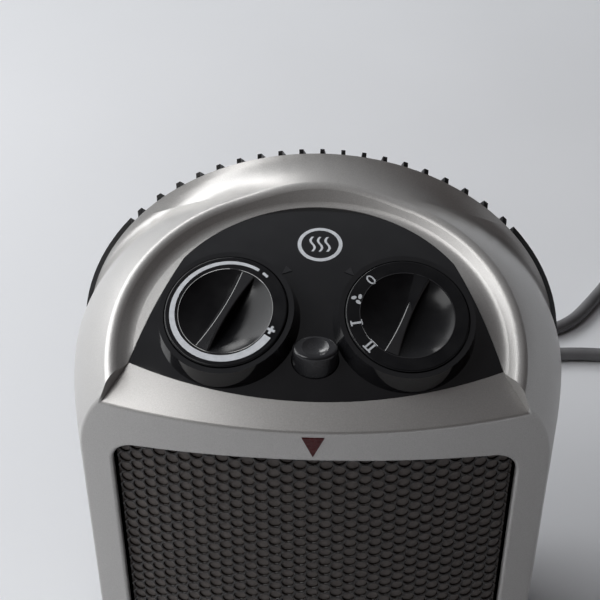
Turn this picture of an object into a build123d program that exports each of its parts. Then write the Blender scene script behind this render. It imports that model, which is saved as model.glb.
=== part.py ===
"""Ceramic fan heater: a silver arched housing that swings on a round base.

Millimetres, +Z up, the outlet grille faces -Y. The origin is on the floor, under the middle of the
heater, without its cord.
"""
import os
from math import asin, atan2, cos, pi, radians, sin, sqrt, tan

from build123d import *

os.makedirs("parts", exist_ok=True)

# Housing form
front_y = -71.0
front_radius = 205.0
parting_y = 34.0
rear_y = 68.0
housing_foot_z = 26.0
wall = 2.6
fit_gap = 0.3
front_cut = 60.0
case_corner = 3.0
small_corner = 1.5
run_gap = 0.05
edge_round = 1.2

# Arch stations from front to rear: half width, crown height, shoulder radius and crown radius
nose_y = front_y - 5.0
nose_half_width, nose_crown_z, nose_shoulder_r, nose_crown_r = 74.0, 243.0, 59.7, 90.9
brow_y = -56.0
brow_half_width, brow_crown_z, brow_shoulder_r, brow_crown_r = 80.8, 249.5, 62.1, 95.6
waist_y = -15.0
waist_half_width, waist_crown_z, waist_shoulder_r, waist_crown_r = 88.8, 250.2, 64.0, 142.3
collar_y = 14.0
collar_half_width, collar_crown_z, collar_shoulder_r, collar_crown_r = 91.5, 245.6, 80.7, 118.2
arch_half_width, arch_crown_z, arch_shoulder_r, arch_crown_r = 92.7, 247.7, 96.5, 91.5
hip_y = 45.0
ledge = 1.5
hip_half_width, hip_crown_z, hip_shoulder_r, hip_crown_r = 92.6, 238.5, 105.0, 88.0
tail_half_width, tail_crown_z, tail_shoulder_r, tail_crown_r = 78.0, 216.5, 92.0, 72.0

# Control deck: a crowned surface that falls towards the front
crease_z = 212.0
deck_slope = 34.0
deck_radius = 155.0
deck_cross_radius = 300.0
hood_centre_y = -45.7
hood_foot_radius = 63.2
hood_tilt = 18.1
hood_slope = 36.0
hood_depth = 12.0
hood_height = 48.0
hood_end_x, hood_end_y = 60.5, -43.5
hood_tip_x, hood_tip_y = 72.5, -59.5
hood_round = 3.0
hood_foot_round = 4.0
front_round = 1.5
outlet_round = 1.2

# Eye-shaped panel
eye_corner_x, eye_corner_y = 63.0, -46.5
eye_waist_x, eye_waist_y = 55.5, -27.0
eye_shoulder_x, eye_shoulder_y = 47.0, -8.5
eye_front_y = -62.0
eye_rear_y = 14.0
eye_flange = 3.0
eye_sink = 30.0
eye_height = 90.0
panel_skin = 2.6
flange_skin = 1.5

# Rotary controls
knob_x = 29.7
bore_lift = 5.0
bore_depth = 20.0
knob_y = -35.2
knob_radius = 20.8
knob_lift = 0.6
knob_height = 6.4
dish_radius = 16.0
dish_depth = 4.6
grip_width = 2.6
grip_end_width = 5.2
grip_sink = 0.2
thermostat_grip_angle = -29.0
selector_grip_angle = -18.0
collar_gap = 0.4
collar_width = 1.8
collar_height = 6.4
collar_draft = 10.0
spindle_radius = 3.0
spindle_length = 16.0
bush_radius = 5.0
switch_depth = 12.0
switch_size = 26.0

# Swing push key
key_y = -49.0
key_length = 15.4
key_width = 11.6
key_rise = 6.0
key_dish = 1.0
key_gap = 0.35
key_travel = 3.0
key_stem_radius = 2.0
key_stem_length = 9.0
key_case_length = 24.0
key_case_width = 14.0
key_case_depth = 20.0
key_foot_sink = 2.5

# Outlet opening, grille and indicator
outlet_half_width = 69.5
outlet_top_z = 198.5
outlet_top_drop = 7.0
outlet_bottom_z = 58.0
outlet_corner = 11.0
grille_skin = 2.5
grille_lap = 2.0
cell_pitch = 8.6
cell_radius = 3.9
grille_clear = 10.0
lens_width = 7.4
lens_top_z = 210.0
lens_tip_z = 201.0
lens_proud = 0.3
lens_tab_width = 12.0
lens_tab_height = 4.5
lens_tab_skin = 1.5
lamp_radius = 2.6
lamp_length = 8.0

# Rear ribs and intake slots
rib_count = 19
rib_pitch = 7.6
rib_thickness = 1.5
rib_tip = 1.8
rib_hip = 2.4
rib_proud = 3.3
rib_foot_z = 44.0
pad_edge_x = 72.0
pad_width = 40.0
slot_width = 3.2
slot_bottom_z = 62.0
slot_top_z = 190.0

# Air path
fan_z = 112.0
bulkhead_y = 0.0
bulkhead_skin = 3.0
bulkhead_top_z = 196.0
duct_radius = 56.0
duct_wall = 3.0
duct_length = 22.0
rotor_radius = 53.0
rotor_hub_radius = 15.0
rotor_depth = 14.0
rotor_gap = 4.0
blade_count = 7
blade_skin = 2.0
blade_pitch = 38.0
blade_corner = 4.0
motor_shaft_radius = 2.0
bracket_skin = 2.0
bracket_height = 26.0
bracket_lap = 3.0
motor_width, motor_height, motor_depth = 54.0, 44.0, 18.0
motor_corner = 4.0
winding_width, winding_height = 26.0, 14.0
rotor_core_radius = 12.5
rotor_core_gap = 0.5
bridge_skin = 2.0
bridge_width = 14.0
bridge_standoff = 3.0
ptc_width, ptc_height, ptc_depth = 104.0, 104.0, 20.0
ptc_rear_y = -29.0
ptc_shell_wall = 3.0
ptc_banks = 4
ptc_bar = 4.0
ptc_fin_pitch = 7.0
ptc_fin_skin = 1.2
ptc_rail = 1.0
ptc_cap = 8.0
ptc_margin = 4.0
ptc_lead = 3.0
cutout_radius = 8.0
cutout_height = 7.0
cutout_tab_length = 19.2

# Base and pivot
base_radius = 66.0
base_bottom_z = 3.0
base_skin = 2.5
base_split_z = 16.0
base_top_z = 22.0
foot_radius = 7.0
foot_circle = 50.0
peg_radius = 2.5
peg_length = 2.0
boss_radius = 4.5
boss_circle = 52.0
screw_radius = 1.6
screw_head_radius = 3.0
screw_head = 1.8
hub_radius = 12.0
hub_bore = 8.0
hub_bottom_z = 8.0
bush_wall = 4.0
clip_radius = 17.0
clip_skin = 2.0
clip_clear = 2.0
glide_inner, glide_outer = 61.5, 65.3
floor_skin = 3.0
swing_limit = 25.0
crank_offset = 36.0
crank_ratio = 3.0
crank_arm_width = 9.0
crank_skin = 2.4
crank_shaft_radius = 2.5
crank_shaft_seat = 10.0
crank_pin_radius = 2.5
crank_slot_side = 1.1
swing_motor_radius = 25.0
swing_motor_height = 16.0
tip_x, tip_y = -34.0, -24.0
tip_radius = 2.5
tip_length = 12.5
tip_case = 15.0
tip_case_height = 10.0
terminal_x, terminal_y = 48.0, 20.0
terminal_length, terminal_width, terminal_height = 40.0, 15.0, 14.0

# Rear fasteners
rear_screw_x, rear_screw_inner_x, rear_screw_z = 62.0, 40.0, 40.0
rear_screw_radius = 1.7
rear_screw_head_radius = 3.2
rear_screw_head = 2.0
rear_screw_length = 14.0
pillar_radius = 4.0

# Mains lead
cord_radius = 3.5
exit_z = 10.0
relief_length = 28.0
relief_root_radius = 6.5
relief_tip_radius = 4.6
relief_groove = 0.7
relief_rings = 6
relief_crest_share = 0.6
relief_groove_share = 0.7
coil_x, coil_y = 10.0, 273.0
coil_inner = 32.0
coil_pitch = 9.0
coil_layer = 7.6
coil_turns = 2
coil_samples = 900
bend_share = 0.45
plug_width = 35.0
plug_grip_width = 26.0
plug_length = 42.0
plug_neck = 12.0
pin_radius = 2.4
pin_spacing = 19.0
pin_length = 19.0
tie_width = 8.0
tie_skin = 1.2


def write(piece, name):
    """Label a finished piece and write its STEP file."""
    piece.part.label = name
    export_step(piece.part, f"parts/{name}.step")


def arch_edges(half_width, crown_z, shoulder_r, crown_r, foot_z):
    """Outline of a round-topped arch: straight sides, two shoulder arcs and a crown arc."""
    crown_c = crown_z - crown_r
    reach = sqrt((crown_r - shoulder_r) ** 2 - (half_width - shoulder_r) ** 2)
    side = 1 if shoulder_r > crown_r else -1
    spring_z = crown_c - side * reach
    centre_x = half_width - shoulder_r
    turn = atan2(side * (crown_c - spring_z), -side * centre_x)

    def shoulder(angle):
        return centre_x + shoulder_r * cos(angle), spring_z + shoulder_r * sin(angle)

    middle, joint = shoulder(turn / 2), shoulder(turn)
    with BuildLine() as outline:
        Line((half_width, foot_z), (half_width, spring_z))
        ThreePointArc((half_width, spring_z), middle, joint)
        ThreePointArc(joint, (0, crown_z), (-joint[0], joint[1]))
        ThreePointArc((-joint[0], joint[1]), (-middle[0], middle[1]), (-half_width, spring_z))
        Line((-half_width, spring_z), (-half_width, foot_z))
        Line((-half_width, foot_z), (half_width, foot_z))
    return outline.edges()


def arch_loft(stations, inset, foot_z):
    """Smooth solid through arch stations, each drawn in by inset."""
    with BuildPart() as form:
        for station_y, half_width, crown_z, shoulder_r, crown_r in stations:
            with BuildSketch(Plane.XZ.offset(-station_y)):
                sizes = [size - inset for size in (half_width, crown_z, shoulder_r, crown_r)]
                make_face(arch_edges(*sizes, foot_z))
        loft()
    return form.part


front_stations = [
    (nose_y, nose_half_width, nose_crown_z, nose_shoulder_r, nose_crown_r),
    (brow_y, brow_half_width, brow_crown_z, brow_shoulder_r, brow_crown_r),
    (waist_y, waist_half_width, waist_crown_z, waist_shoulder_r, waist_crown_r),
    (collar_y, collar_half_width, collar_crown_z, collar_shoulder_r, collar_crown_r),
    (parting_y, arch_half_width, arch_crown_z, arch_shoulder_r, arch_crown_r),
]
rear_stations = [
    (
        parting_y,
        arch_half_width - ledge,
        arch_crown_z - ledge,
        arch_shoulder_r - ledge,
        arch_crown_r - ledge,
    ),
    (hip_y, hip_half_width, hip_crown_z, hip_shoulder_r, hip_crown_r),
    (rear_y, tail_half_width, tail_crown_z, tail_shoulder_r, tail_crown_r),
]


def front_form(inset, foot_z):
    """Front half of the housing as a solid, bowed at the front."""
    solid = arch_loft(front_stations, inset, foot_z)
    with BuildPart() as form:
        add(solid)
        with Locations((0, front_y + front_radius, 0)):
            Cylinder(front_radius - inset, 4 * front_radius, mode=Mode.INTERSECT)
    return form.part


# Deck surface: an arc in side view, turned about a level axis far below
deck_centre_y = front_y + deck_radius * sin(radians(deck_slope))
deck_centre_z = crease_z - deck_radius * cos(radians(deck_slope))
deck_axis_z = deck_centre_z + deck_radius - deck_cross_radius
deck_floor_z = deck_centre_z + deck_radius / 3


def below_deck(depth):
    """Everything lower than the deck surface sunk by depth, as a ring about the level axis."""
    radius = deck_radius - depth
    front, rear = -1.55 * deck_radius / 2, 0.75 * deck_radius / 2
    with BuildPart() as ring:
        with BuildSketch(Plane.YZ):
            with BuildLine():
                start = (deck_centre_y + front, deck_centre_z + sqrt(radius**2 - front**2))
                finish = (deck_centre_y + rear, deck_centre_z + sqrt(radius**2 - rear**2))
                ThreePointArc(start, (deck_centre_y, deck_centre_z + radius), finish)
                Polyline(finish, (finish[0], deck_floor_z), (start[0], deck_floor_z), start)
            make_face()
        revolve(axis=Axis((0, 0, deck_axis_z), (0, 1, 0)))
    return ring.part


def deck_plane(x, y):
    """Plane on the deck at plan position x, y, facing straight out of it."""
    rise = sqrt(deck_radius**2 - (y - deck_centre_y) ** 2)
    turn_radius = deck_centre_z + rise - deck_axis_z
    roll = asin(x / turn_radius)
    origin = (x, y, deck_axis_z + turn_radius * cos(roll))
    up = rise / deck_radius
    normal = (up * sin(roll), (y - deck_centre_y) / deck_radius, up * cos(roll))
    return Plane(origin=origin, x_dir=(normal[2], 0, -normal[0]), z_dir=normal)


hood_foot_z = deck_plane(hood_foot_radius, hood_centre_y).origin.Z


def scoop(depth):
    """Space above the deck and inside the hood's sloping rim, widened by depth."""
    deck = below_deck(depth)
    tilt, slope = radians(hood_tilt), radians(hood_slope)
    radius = hood_foot_radius + depth / sin(slope)
    low, high = radius - hood_depth / tan(slope), radius + hood_height / tan(slope)
    middle = (hood_height - hood_depth) / 2
    axis = Plane(
        origin=(0, hood_centre_y, hood_foot_z),
        x_dir=(1, 0, 0),
        z_dir=(0, -sin(tilt), cos(tilt)),
    )
    run_x, run_y = hood_tip_x - hood_end_x, hood_tip_y - hood_end_y
    far_x, far_y = hood_tip_x + 2 * run_x, hood_tip_y + 2 * run_y
    with BuildPart() as space:
        with Locations(axis.offset(middle)):
            Cone(low, high, hood_depth + hood_height)
        with BuildSketch(Plane.XY.offset(crease_z - eye_sink)):
            with BuildLine():
                near, far = (hood_end_x, hood_end_y), (far_x, far_y)
                Polyline((-far[0], far[1]), (-near[0], near[1]), near, far, close=True)
            make_face()
            if depth:
                offset(amount=depth, kind=Kind.INTERSECTION)
        extrude(amount=eye_height)
        add(deck, mode=Mode.SUBTRACT)
    return space.part


def eye_prism(grow):
    """Upright prism of the panel's eye outline, grown all round."""
    with BuildPart() as prism:
        with BuildSketch(Plane.XY.offset(crease_z - eye_sink)):
            with BuildLine():
                corner = (eye_corner_x, eye_corner_y)
                shoulder = (eye_shoulder_x, eye_shoulder_y)
                far_corner, far_shoulder = (-corner[0], corner[1]), (-shoulder[0], shoulder[1])
                ThreePointArc(far_corner, (0, eye_front_y), corner)
                ThreePointArc(corner, (eye_waist_x, eye_waist_y), shoulder)
                ThreePointArc(shoulder, (0, eye_rear_y), far_shoulder)
                ThreePointArc(far_shoulder, (-eye_waist_x, eye_waist_y), far_corner)
            make_face()
            if grow:
                offset(amount=grow)
        extrude(amount=eye_height)
    return prism.part


deck_top = below_deck(0)
deck_skin_low = below_deck(panel_skin + fit_gap / 2)
deck_flange_low = below_deck(panel_skin + fit_gap / 2 + flange_skin)
deck_clear_low = below_deck(panel_skin + fit_gap / 2 + flange_skin + fit_gap)
knob_planes = {"thermostat": deck_plane(-knob_x, knob_y), "selector": deck_plane(knob_x, knob_y)}
key_plane = deck_plane(0, key_y)
key_z = key_plane.origin.Z


# Front shell
def outlet_edges(grow):
    """Outline of the outlet on the XZ plane, its top gently arched."""
    half = outlet_half_width + grow
    top, side_top = outlet_top_z + grow, outlet_top_z - outlet_top_drop + grow
    low = outlet_bottom_z - grow
    with BuildLine() as outline:
        Polyline((-half, side_top), (-half, low), (half, low), (half, side_top))
        ThreePointArc((half, side_top), (0, top), (-half, side_top))
    return outline.edges()


def lens_edges(grow):
    """Downward triangle of the indicator window on the XZ plane."""
    with BuildLine() as outline:
        Polyline(
            (-lens_width / 2 - grow, lens_top_z + grow),
            (lens_width / 2 + grow, lens_top_z + grow),
            (0, lens_tip_z - 2 * grow),
            close=True,
        )
    return outline.edges()


outer_front = front_form(0, housing_foot_z)
inner_front = front_form(wall, housing_foot_z - 1)
scoop_space = scoop(0)
scoop_skin = scoop(wall)
eye_hole = eye_prism(0)
with BuildPart() as front_cavity:
    add(inner_front)
    add(scoop_skin, mode=Mode.SUBTRACT)
    with BuildSketch(Plane.XZ.offset(-parting_y)):
        make_face(arch_edges(arch_half_width - wall, arch_crown_z - wall, arch_shoulder_r - wall,
                             arch_crown_r - wall, housing_foot_z - 1))
    extrude(amount=-1)

with BuildPart() as front_shell:
    add(outer_front)
    add(scoop_space, mode=Mode.SUBTRACT)
    hood_rim = faces().filter_by(GeomType.CONE)[0]
    sides = [edge for face in faces().filter_by(GeomType.BSPLINE) for edge in face.edges()]
    fillet(hood_rim.edges() & ShapeList(sides), hood_round)
    hood_rim = faces().filter_by(GeomType.CONE)[0]
    deck_face = faces().filter_by(GeomType.REVOLUTION)[0]
    fillet(hood_rim.edges() & deck_face.edges(), hood_foot_round)
    bow = faces().filter_by(GeomType.CYLINDER).sort_by(SortBy.AREA)[-1]
    fillet(bow.edges().filter_by_position(Axis.Z, housing_foot_z + wall, arch_crown_z), front_round)
    add(front_cavity.part, mode=Mode.SUBTRACT)
    add(eye_hole, mode=Mode.SUBTRACT)
    with BuildSketch(Plane.XZ.offset(-brow_y)):
        make_face(outlet_edges(0))
        fillet(vertices(), outlet_corner)
    extrude(amount=front_cut, mode=Mode.SUBTRACT)
    with BuildSketch(Plane.XZ.offset(-brow_y)):
        make_face(lens_edges(fit_gap / 2))
    extrude(amount=front_cut, mode=Mode.SUBTRACT)
    bow = faces().filter_by(GeomType.CYLINDER).sort_by(SortBy.AREA)[-1]
    fillet(bow.inner_wires().sort_by(SortBy.LENGTH)[-1].edges(), outlet_round)
write(front_shell, "front_shell")

# Control panel with its two collars
eye_fit = eye_prism(-fit_gap / 2)
eye_lip = eye_prism(eye_flange)


def collar_ring(plane):
    """Raised ring round one knob, flared towards the panel and reaching down into it."""
    inner, height = knob_radius + collar_gap, 2 * panel_skin + collar_height
    foot = plane.offset(-2 * panel_skin)
    with BuildPart() as ring:
        with BuildSketch(foot):
            Circle(inner + collar_width + height * tan(radians(collar_draft)))
        extrude(amount=height, taper=collar_draft)
        with BuildSketch(foot):
            Circle(inner)
        extrude(amount=height, mode=Mode.SUBTRACT)
        add(deck_skin_low, mode=Mode.SUBTRACT)
    return ring.part


collars = [collar_ring(plane) for plane in knob_planes.values()]
with BuildPart() as panel_flange:
    add(deck_skin_low)
    add(eye_lip, mode=Mode.INTERSECT)
    add(deck_flange_low, mode=Mode.SUBTRACT)
with BuildPart() as control_panel:
    add(deck_top)
    add(eye_fit, mode=Mode.INTERSECT)
    add(deck_flange_low, mode=Mode.SUBTRACT)
    add(panel_flange.part)
    for collar in collars:
        add(collar)
    for plane in knob_planes.values():
        with BuildSketch(plane.offset(bore_lift)):
            Circle(bush_radius + fit_gap)
        extrude(amount=-bore_depth, mode=Mode.SUBTRACT)
    with BuildSketch(Plane.XY.offset(key_z - bore_depth)):
        with Locations((0, key_y)):
            Ellipse(key_length / 2 + key_gap, key_width / 2 + key_gap)
    extrude(amount=2 * bore_depth, mode=Mode.SUBTRACT)
write(control_panel, "control_panel")


# Knobs with their spindles, and the parts that carry them
def knob(plane, grip_angle):
    """Disc with a bowl in its top and a waisted grip across it, on a round spindle."""
    top = knob_lift + knob_height
    with BuildPart() as turned:
        with BuildSketch(plane.offset(knob_lift)):
            Circle(knob_radius)
        extrude(amount=knob_height)
        fillet(turned.edges().filter_by(GeomType.CIRCLE).group_by(SortBy.RADIUS)[-1], edge_round / 2)
        bowl_radius = (dish_radius**2 + dish_depth**2) / (2 * dish_depth)
        with Locations(plane.offset(top - dish_depth + bowl_radius)):
            Sphere(bowl_radius, mode=Mode.SUBTRACT)
        with BuildSketch(plane.offset(top - dish_depth - 1).rotated((0, 0, grip_angle))):
            with BuildLine():
                end, middle = grip_end_width / 2, grip_width / 2
                ThreePointArc((end, -dish_radius), (middle, 0), (end, dish_radius))
                Line((end, dish_radius), (-end, dish_radius))
                ThreePointArc((-end, dish_radius), (-middle, 0), (-end, -dish_radius))
                Line((-end, -dish_radius), (end, -dish_radius))
            make_face()
        extrude(amount=dish_depth + 1 - grip_sink)
        with BuildSketch(plane.offset(knob_lift)):
            Circle(spindle_radius)
        extrude(amount=-spindle_length)
    return turned


def rotary_case(plane):
    """Square switch body under the panel, with a bush that guides the spindle."""
    top = -panel_skin - flange_skin - fit_gap
    with BuildPart() as case:
        with BuildSketch(plane.offset(top - switch_depth)):
            RectangleRounded(switch_size, switch_size, case_corner)
        extrude(amount=switch_depth)
        add(deck_clear_low, mode=Mode.INTERSECT)
        with BuildSketch(plane.offset(top - switch_depth)):
            Circle(bush_radius)
        extrude(amount=switch_depth - top - fit_gap)
        with BuildSketch(plane.offset(knob_lift)):
            Circle(spindle_radius + run_gap)
        extrude(amount=-spindle_length - 1, mode=Mode.SUBTRACT)
    return case


thermostat_knob = knob(knob_planes["thermostat"], thermostat_grip_angle)
write(thermostat_knob, "thermostat_knob")
selector_knob = knob(knob_planes["selector"], selector_grip_angle)
write(selector_knob, "selector_knob")
thermostat_body = rotary_case(knob_planes["thermostat"])
write(thermostat_body, "thermostat_body")
selector_switch = rotary_case(knob_planes["selector"])
write(selector_switch, "selector_switch")

# Swing key and its push switch
key_case_top = key_z - panel_skin - flange_skin
key_foot_z = key_case_top - key_foot_sink
with BuildPart() as swing_key:
    with BuildSketch(Plane.XY.offset(key_foot_z)):
        with Locations((0, key_y)):
            Ellipse(key_length / 2, key_width / 2)
    extrude(amount=key_z + key_rise - key_foot_z)
    fillet(swing_key.faces().sort_by(Axis.Z)[-1].edges(), edge_round)
    dish_ball = (key_width / 2 - edge_round) ** 2 / (2 * key_dish)
    with Locations((0, key_y, key_z + key_rise + dish_ball - key_dish)):
        Sphere(dish_ball, mode=Mode.SUBTRACT)
    with BuildSketch(Plane.XY.offset(key_foot_z)):
        with Locations((0, key_y)):
            Circle(key_stem_radius)
    extrude(amount=-key_stem_length)
write(swing_key, "swing_key")

with BuildPart() as swing_switch:
    with BuildSketch(Plane.XY.offset(key_case_top - key_case_depth)):
        with Locations((0, key_y)):
            RectangleRounded(key_case_length, key_case_width, 2)
    extrude(amount=2 * key_case_depth)
    add(deck_clear_low, mode=Mode.INTERSECT)
    with BuildSketch(Plane.XY.offset(key_foot_z - key_travel - fit_gap)):
        with Locations((0, key_y)):
            Ellipse(key_length / 2 + key_gap, key_width / 2 + key_gap)
    extrude(amount=key_case_depth, mode=Mode.SUBTRACT)
    with BuildSketch(Plane.XY.offset(key_foot_z)):
        with Locations((0, key_y)):
            Circle(key_stem_radius + run_gap)
    extrude(amount=-key_stem_length - key_travel - fit_gap, mode=Mode.SUBTRACT)
write(swing_switch, "swing_switch")

# Outlet grille: a bowed plate with a honeycomb of holes behind the outlet
grille_outer = front_radius - wall - fit_gap
cell_rows = int((outlet_top_z - outlet_bottom_z) / cell_pitch)
cell_step = cell_pitch * sqrt(3) / 2
cell_columns = int(outlet_half_width / cell_step)
cells = []
for column in range(-cell_columns, cell_columns + 1):
    column_top = outlet_top_z - outlet_top_drop * (column * cell_step / outlet_half_width) ** 2
    for row in range(cell_rows + 1):
        cell_z = outlet_bottom_z + cell_pitch * (row + 0.5 * (column % 2))
        if cell_z + cell_radius < column_top and cell_z - cell_radius > outlet_bottom_z:
            cells.append((column * cell_step, cell_z))
with BuildPart() as outlet_grille:
    with BuildSketch(Plane.XZ.offset(-brow_y - grille_clear)):
        make_face(outlet_edges(grille_lap))
        fillet(vertices(), outlet_corner + grille_lap)
        with Locations(*cells):
            RegularPolygon(cell_radius, 6, mode=Mode.SUBTRACT)
    extrude(amount=front_cut)
    with Locations((0, front_y + front_radius, 0)):
        Cylinder(grille_outer, 4 * front_radius, mode=Mode.INTERSECT)
        Cylinder(grille_outer - grille_skin, 4 * front_radius, mode=Mode.SUBTRACT)
write(outlet_grille, "outlet_grille")
print("grille cells", len(cells))

# Indicator lens and lamp
lens_tab_z = (lens_top_z + lens_tip_z) / 2
lens_back_y = front_y + wall + fit_gap + lens_tab_skin
with BuildPart() as indicator_lens:
    with BuildSketch(Plane.XZ.offset(-brow_y)):
        make_face(lens_edges(0))
    extrude(amount=front_cut)
    with BuildSketch(Plane.XZ.offset(-front_y - wall - fit_gap)):
        with Locations((0, lens_tab_z)):
            Rectangle(lens_tab_width, lens_tab_height)
    extrude(amount=-lens_tab_skin)
    with Locations((0, front_y + front_radius, 0)):
        Cylinder(front_radius + lens_proud, 4 * front_radius, mode=Mode.INTERSECT)
    split(bisect_by=Plane.XZ.offset(-lens_back_y), keep=Keep.TOP)
write(indicator_lens, "indicator_lens")

with BuildPart() as indicator_lamp:
    with BuildSketch(Plane.XZ.offset(-lens_back_y - fit_gap)):
        with Locations((0, lens_tab_z)):
            Circle(lamp_radius)
    extrude(amount=-lamp_length)
write(indicator_lamp, "indicator_lamp")

# Rear shell with upright ribs between two side pads, and intake slots
rear_inner_stations = rear_stations[:-1] + [(rear_y - wall, *rear_stations[-1][1:])]
rib_front = [size + ledge + rib_tip for size in rear_stations[0][1:]]
rib_middle = [size + rib_hip for size in rear_stations[1][1:]]
rib_back = [size + rib_proud for size in rear_stations[2][1:]]
rib_stations = [
    (parting_y + fit_gap, *rib_front),
    (hip_y, *rib_middle),
    (rear_y + rib_proud, *rib_back),
]
outer_rear = arch_loft(rear_stations, 0, housing_foot_z)
inner_rear = arch_loft(rear_inner_stations, wall, housing_foot_z - 1)
rib_form = arch_loft(rib_stations, 0, rib_foot_z)
rib_xs = [rib_pitch * (index - (rib_count - 1) / 2) for index in range(rib_count)]
with BuildPart() as ribs:
    with BuildSketch(Plane.XZ):
        with Locations(*[(x, arch_crown_z / 2) for x in rib_xs]):
            Rectangle(rib_thickness, 2 * arch_crown_z)
        pad_x = pad_edge_x + pad_width / 2
        with Locations((-pad_x, arch_crown_z / 2), (pad_x, arch_crown_z / 2)):
            Rectangle(pad_width, 2 * arch_crown_z)
    extrude(amount=-2 * rear_y)
    add(rib_form, mode=Mode.INTERSECT)
    add(inner_rear, mode=Mode.SUBTRACT)
screw_xs = (-rear_screw_x, -rear_screw_inner_x, rear_screw_inner_x, rear_screw_x)
pillar_y = rear_y - rear_screw_length - wall
with BuildPart() as rear_shell:
    add(outer_rear)
    add(inner_rear, mode=Mode.SUBTRACT)
    add(ribs.part)
    slot_xs = [x + rib_pitch / 2 for x in rib_xs[:-1]]
    with BuildSketch(Plane.XZ.offset(-rear_y - rib_proud)):
        with Locations(*[(x, (slot_bottom_z + slot_top_z) / 2) for x in slot_xs]):
            SlotOverall(slot_top_z - slot_bottom_z, slot_width, rotation=90)
    extrude(amount=rib_proud + 2 * wall, mode=Mode.SUBTRACT)
    with BuildSketch(Plane.XZ.offset(-pillar_y)):
        with Locations(*[(x, rear_screw_z) for x in screw_xs]):
            Circle(pillar_radius)
    extrude(amount=pillar_y - rear_y)
    with BuildSketch(Plane.XZ.offset(-pillar_y)):
        with Locations(*[(x, rear_screw_z) for x in screw_xs]):
            Circle(rear_screw_radius + run_gap)
    extrude(amount=pillar_y - rear_y - wall, mode=Mode.SUBTRACT)
write(rear_shell, "rear_shell")

with BuildPart() as rear_screws:
    with BuildSketch(Plane.XZ.offset(-rear_y)):
        with Locations(*[(x, rear_screw_z) for x in screw_xs]):
            Circle(rear_screw_head_radius)
    extrude(amount=-rear_screw_head)
    with BuildSketch(Plane.XZ.offset(-rear_y)):
        with Locations(*[(x, rear_screw_z) for x in screw_xs]):
            Circle(rear_screw_radius)
    extrude(amount=rear_screw_length)
write(rear_screws, "rear_screws")

# Housing floor with the hollow pivot hub
floor_top_z = housing_foot_z + floor_skin
floor_front = front_form(wall + fit_gap / 2, housing_foot_z)
floor_rear = arch_loft(rear_inner_stations, wall + fit_gap / 2, housing_foot_z)
with BuildPart() as housing_floor:
    add(floor_front)
    add(floor_rear)
    split(bisect_by=Plane.XY.offset(floor_top_z), keep=Keep.BOTTOM)
    with BuildSketch(Plane.XY.offset(hub_bottom_z)):
        Circle(hub_radius)
    extrude(amount=floor_top_z - hub_bottom_z)
    with BuildSketch(Plane.XY.offset(hub_bottom_z)):
        Circle(hub_bore)
    extrude(amount=floor_top_z, mode=Mode.SUBTRACT)
    with BuildSketch(Plane.XY.offset(housing_foot_z)):
        with Locations((0, crank_offset)):
            Circle(crank_shaft_radius + run_gap)
    extrude(amount=floor_skin, mode=Mode.SUBTRACT)
write(housing_floor, "housing_floor")

# Bulkhead and fan duct in one moulding
bulkhead_form = front_form(wall + fit_gap, floor_top_z)
with BuildPart() as fan_duct:
    add(bulkhead_form)
    split(bisect_by=Plane.XY.offset(bulkhead_top_z), keep=Keep.BOTTOM)
    split(bisect_by=Plane.XZ.offset(-bulkhead_y), keep=Keep.BOTTOM)
    split(bisect_by=Plane.XZ.offset(-bulkhead_y - bulkhead_skin), keep=Keep.TOP)
    with BuildSketch(Plane.XZ.offset(-bulkhead_y)):
        with Locations((0, fan_z)):
            Circle(duct_radius + duct_wall)
    extrude(amount=-bulkhead_skin - duct_length)
    with BuildSketch(Plane.XZ.offset(-bulkhead_y)):
        with Locations((0, fan_z)):
            Circle(duct_radius)
    extrude(amount=-bulkhead_skin - duct_length, mode=Mode.SUBTRACT)
write(fan_duct, "fan_duct")

# Fan motor: bracket, stack, winding and front bridge
bracket_front_y = bulkhead_y - bracket_skin
stack_front_y = bracket_front_y - motor_depth
bridge_front_y = stack_front_y - bridge_standoff - bridge_skin
with BuildPart() as motor_bracket:
    with BuildSketch(Plane.XZ.offset(-bulkhead_y)):
        with Locations((0, fan_z)):
            RectangleRounded(2 * (duct_radius + bracket_lap), bracket_height, case_corner)
            Circle(motor_shaft_radius + run_gap, mode=Mode.SUBTRACT)
    extrude(amount=bracket_skin)
write(motor_bracket, "motor_bracket")

with BuildPart() as motor_stack:
    with BuildSketch(Plane.XZ.offset(-bracket_front_y)):
        with Locations((0, fan_z)):
            RectangleRounded(motor_width, motor_height, motor_corner)
            Circle(rotor_core_radius + rotor_core_gap, mode=Mode.SUBTRACT)
    extrude(amount=motor_depth)
write(motor_stack, "motor_stack")

with BuildPart() as motor_winding:
    with BuildSketch(Plane.XZ.offset(-bracket_front_y)):
        with Locations((0, fan_z - motor_height / 2 - winding_height / 2)):
            RectangleRounded(winding_width, winding_height, motor_corner)
    extrude(amount=motor_depth)
write(motor_winding, "motor_winding")

with BuildPart() as motor_bridge:
    with BuildSketch(Plane.XZ.offset(bridge_standoff - stack_front_y)):
        with Locations((0, fan_z)):
            RectangleRounded(motor_width, bridge_width, case_corner)
            Circle(motor_shaft_radius + run_gap, mode=Mode.SUBTRACT)
    extrude(amount=bridge_skin)
    with BuildSketch(Plane.XZ.offset(-stack_front_y)):
        with Locations((0, fan_z)):
            with GridLocations(motor_width - bridge_width / 2, 0, 2, 1):
                Rectangle(bridge_width / 2, bridge_width)
    extrude(amount=bridge_standoff)
write(motor_bridge, "motor_bridge")

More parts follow.
